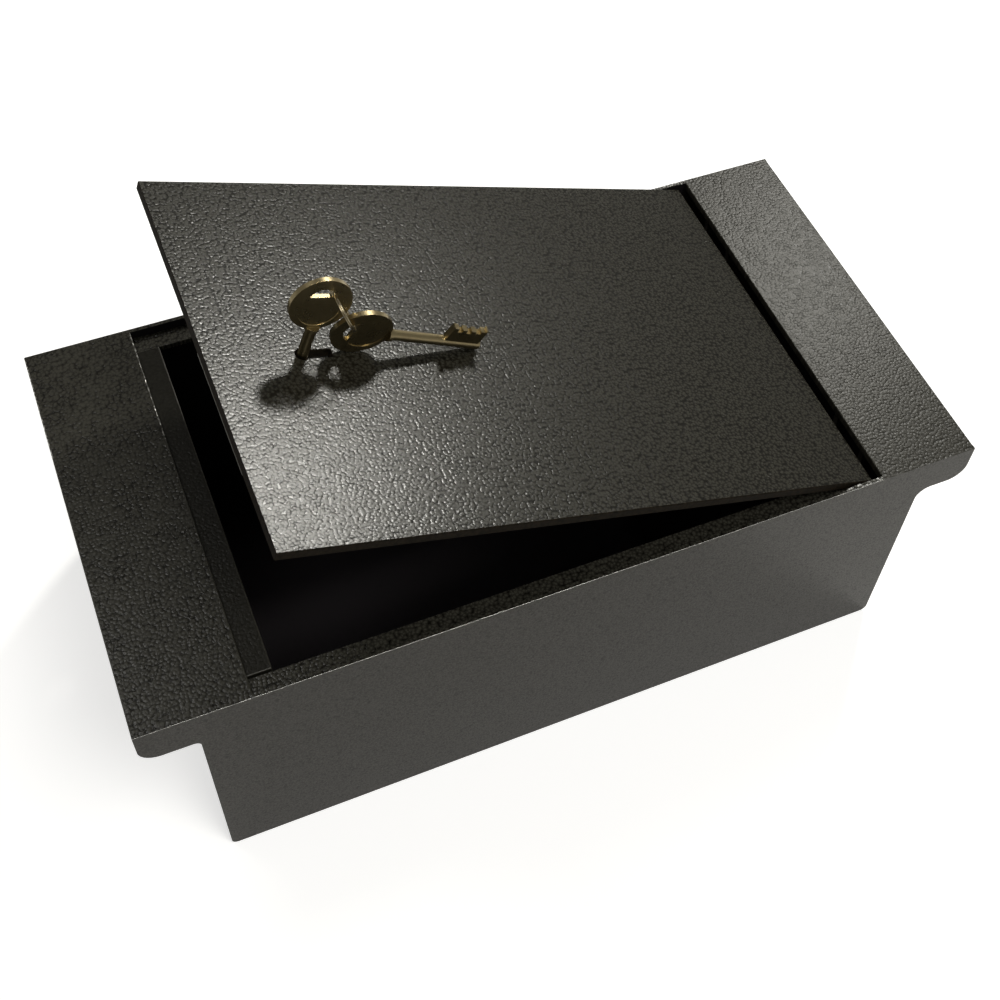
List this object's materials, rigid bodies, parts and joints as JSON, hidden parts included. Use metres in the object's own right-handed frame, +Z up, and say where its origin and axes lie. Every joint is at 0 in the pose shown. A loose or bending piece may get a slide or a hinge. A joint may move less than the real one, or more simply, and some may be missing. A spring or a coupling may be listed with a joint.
{
  "type": "floorboard safe",
  "caption": "Steel safe box that hangs between floor joists on two flanges, with a hinged lid, a lever lock, a key in the lock and a spare key on a split ring.",
  "frame": {"origin": "middle of the base's underside", "axes": "+X from the free end of the lid towards the hinge, +Y towards the back wall, +Z up"},
  "size_m": [0.4, 0.21, 0.2563],
  "materials": {
    "hammered_paint": "hammered dark grey-brown powder coat",
    "plated_steel": "dull zinc plate",
    "bright_steel": "bright steel",
    "lock_brass": "dull brass",
    "key_brass": "polished brass, a little worn"
  },
  "bodies": {
    "safe": {"front_wall": "hammered_paint", "back_wall": "hammered_paint", "box_wrap": "hammered_paint", "left_flange_plate": "hammered_paint", "right_flange_plate": "hammered_paint", "front_ledge": "hammered_paint", "back_ledge": "hammered_paint", "keep_bar": "hammered_paint", "hinge_brackets": "hammered_paint", "hinge_pins": "bright_steel"},
    "lid": {"lid_plate": "hammered_paint", "hinge_lugs": "hammered_paint", "lock_case": "plated_steel", "lock_cover": "plated_steel", "cover_screws": "bright_steel", "lock_studs": "bright_steel", "lock_nuts": "bright_steel", "lever_1": "lock_brass", "lever_2": "lock_brass", "lever_3": "lock_brass", "lever_4": "lock_brass", "lever_5": "lock_brass", "lever_6": "lock_brass", "lever_7": "lock_brass", "lever_post": "bright_steel", "guide_post": "bright_steel", "lever_springs": "bright_steel"},
    "lock_bolt": {"bolt": "lock_brass", "bolt_pins": "bright_steel"},
    "turning_key": {"key_drum": "bright_steel", "key": "key_brass"},
    "ring": {"key_ring": "bright_steel"},
    "spare": {"spare_key": "key_brass"}
  },
  "joints": [
    {"name": "lid_hinge", "type": "hinge", "parent": "safe", "child": "lid", "pos_m": [0.1374, 0, 0.127], "axis": [0, 1, 0], "range_deg": [-19.3, 85.7]},
    {"name": "key_turn", "type": "hinge", "parent": "lid", "child": "turning_key", "pos_m": [-0.09251, -0.005, 0.21175], "axis": [0.3305, 0, 0.9438], "range_deg": [-180, 0]},
    {"name": "bolt_slide", "type": "slide", "parent": "lid", "child": "lock_bolt", "axis": [-0.9438, 0, 0.3305], "range_m": [0, 0.0135]},
    {"name": "ring_swing", "type": "hinge", "parent": "turning_key", "child": "ring", "pos_m": [-0.07603, -0.0057, 0.24672], "axis": [0, -1, 0], "range_deg": [0, 60]},
    {"name": "spare_key_swing", "type": "hinge", "parent": "ring", "child": "spare", "pos_m": [-0.06949, -0.0057, 0.22693], "axis": [0, -1, 0], "range_deg": [0, 20]}
  ],
  "couplings": [
    {"joint": "bolt_slide", "follows": "key_turn", "m_per_rad": -0.004297}
  ]
}
